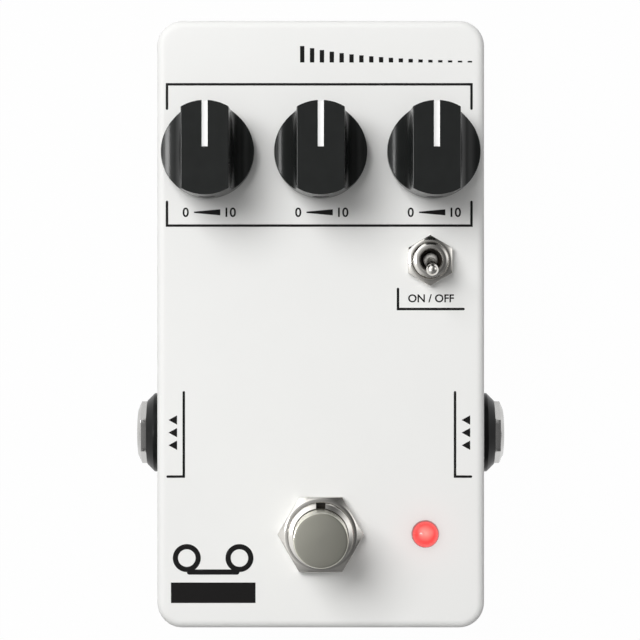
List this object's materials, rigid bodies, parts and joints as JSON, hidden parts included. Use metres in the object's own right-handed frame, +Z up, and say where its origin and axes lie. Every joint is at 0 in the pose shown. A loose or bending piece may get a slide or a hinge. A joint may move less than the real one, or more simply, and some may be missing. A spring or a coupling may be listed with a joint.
{
  "type": "tape echo pedal",
  "caption": "White cast-metal effects pedal with a row of black pointer knobs, a toggle lever, a foot switch, a red lamp, side audio jacks and a rear power socket.",
  "frame": {"origin": "under the middle of the case, on the surface that the feet stand on", "axes": "+Z up out of the face, +Y from the foot switch towards the dials, +X towards the input jack"},
  "size_m": [0.0692, 0.1116, 0.0494],
  "materials": {
    "white_paint": "fine white powder coat",
    "black_plastic": "satin black moulded plastic",
    "white_fill": "white painted line",
    "nickel": "bright nickel plate",
    "steel": "plain zinc-plated steel",
    "brass": "bare brass",
    "rubber": "matt black rubber",
    "board": "green solder mask",
    "chip": "matt black epoxy",
    "can": "bare drawn can",
    "ceramic": "tan ceramic",
    "cable": "grey flat cable",
    "header": "ivory nylon",
    "phenolic": "brown laminate",
    "red_body": "dark red moulding",
    "blue_body": "blue moulding",
    "red_lens": "clear red epoxy",
    "spring_wire": "plain spring wire"
  },
  "bodies": {
    "case": {"case_shell": "white_paint", "base_plate": "white_paint", "base_screws": "steel", "rubber_feet": "rubber", "main_board": "board", "delay_chip": "chip", "amplifier_chips": "chip", "voltage_regulator": "chip", "electrolytic_capacitors": "can", "chip_components": "ceramic", "power_jack_housing": "black_plastic", "power_jack_pin": "nickel", "power_jack_contacts": "brass", "switch_board": "board", "ribbon_cable": "cable", "ribbon_headers": "header", "pot_frames": "steel", "pot_bases": "phenolic", "pot_pins": "brass", "pot_nuts": "steel", "pot_washers": "steel", "toggle_body": "red_body", "toggle_bushing": "nickel", "toggle_nut": "nickel", "toggle_lock_washer": "steel", "toggle_pins": "brass", "footswitch_body": "blue_body", "footswitch_bushing": "nickel", "footswitch_nut": "nickel", "footswitch_back_nut": "steel", "footswitch_lock_washer": "steel", "footswitch_spring": "spring_wire", "footswitch_pins": "brass", "led_lens": "red_lens", "led_leads": "steel", "output_jack_housing": "black_plastic", "input_jack_housing": "black_plastic", "output_jack_bushing": "nickel", "input_jack_bushing": "nickel", "jack_washers": "black_plastic", "jack_nuts": "nickel", "jack_pins": "brass"},
    "left_dial": {"left_knob": "black_plastic", "left_pointer": "white_fill", "left_set_screw": "brass", "left_shaft": "steel"},
    "middle_dial": {"middle_knob": "black_plastic", "middle_pointer": "white_fill", "middle_set_screw": "brass", "middle_shaft": "steel"},
    "right_dial": {"right_knob": "black_plastic", "right_pointer": "white_fill", "right_set_screw": "brass", "right_shaft": "steel"},
    "toggle_lever": {"toggle_lever": "nickel"},
    "toggle_rocker": {"toggle_rocker": "brass"},
    "footswitch_plunger": {"footswitch_button": "nickel", "footswitch_contact": "brass"},
    "output_tip_leaf": {"output_tip_spring": "brass"},
    "input_tip_leaf": {"input_tip_spring": "brass"}
  },
  "joints": [
    {"name": "left_dial_turn", "type": "hinge", "parent": "case", "child": "left_dial", "pos_m": [-0.0205, 0.0313, 0.034], "axis": [0, 0, 1], "range_deg": [-150, 150]},
    {"name": "middle_dial_turn", "type": "hinge", "parent": "case", "child": "middle_dial", "pos_m": [0, 0.0313, 0.034], "axis": [0, 0, 1], "range_deg": [-150, 150]},
    {"name": "right_dial_turn", "type": "hinge", "parent": "case", "child": "right_dial", "pos_m": [0.0205, 0.0313, 0.034], "axis": [0, 0, 1], "range_deg": [-150, 150]},
    {"name": "toggle_throw", "type": "hinge", "parent": "case", "child": "toggle_lever", "pos_m": [0.0199, 0.0116, 0.036], "axis": [-1, 0, 0], "range_deg": [0, 24]},
    {"name": "toggle_rock", "type": "hinge", "parent": "case", "child": "toggle_rocker", "pos_m": [0.0199, 0.0116, 0.02805], "axis": [1, 0, 0], "range_deg": [0, 16]},
    {"name": "footswitch_press", "type": "slide", "parent": "case", "child": "footswitch_plunger", "axis": [0, 0, -1], "range_m": [0, 0.003], "stiffness_N_per_m": 1500, "springref_m": -0.002, "deforming": ["footswitch_spring"]},
    {"name": "output_tip_flex", "type": "hinge", "parent": "case", "child": "output_tip_leaf", "pos_m": [-0.0125, -0.0204, 0.02227], "axis": [0, -1, 0], "range_deg": [0, 8], "stiffness_Nm_per_rad": 0.02, "springref_deg": -2.86},
    {"name": "input_tip_flex", "type": "hinge", "parent": "case", "child": "input_tip_leaf", "pos_m": [0.0125, -0.0204, 0.02227], "axis": [0, 1, 0], "range_deg": [0, 8], "stiffness_Nm_per_rad": 0.02, "springref_deg": -2.86}
  ],
  "couplings": [
    {"joint": "toggle_rock", "follows": "toggle_throw", "ratio": 0.66667}
  ]
}
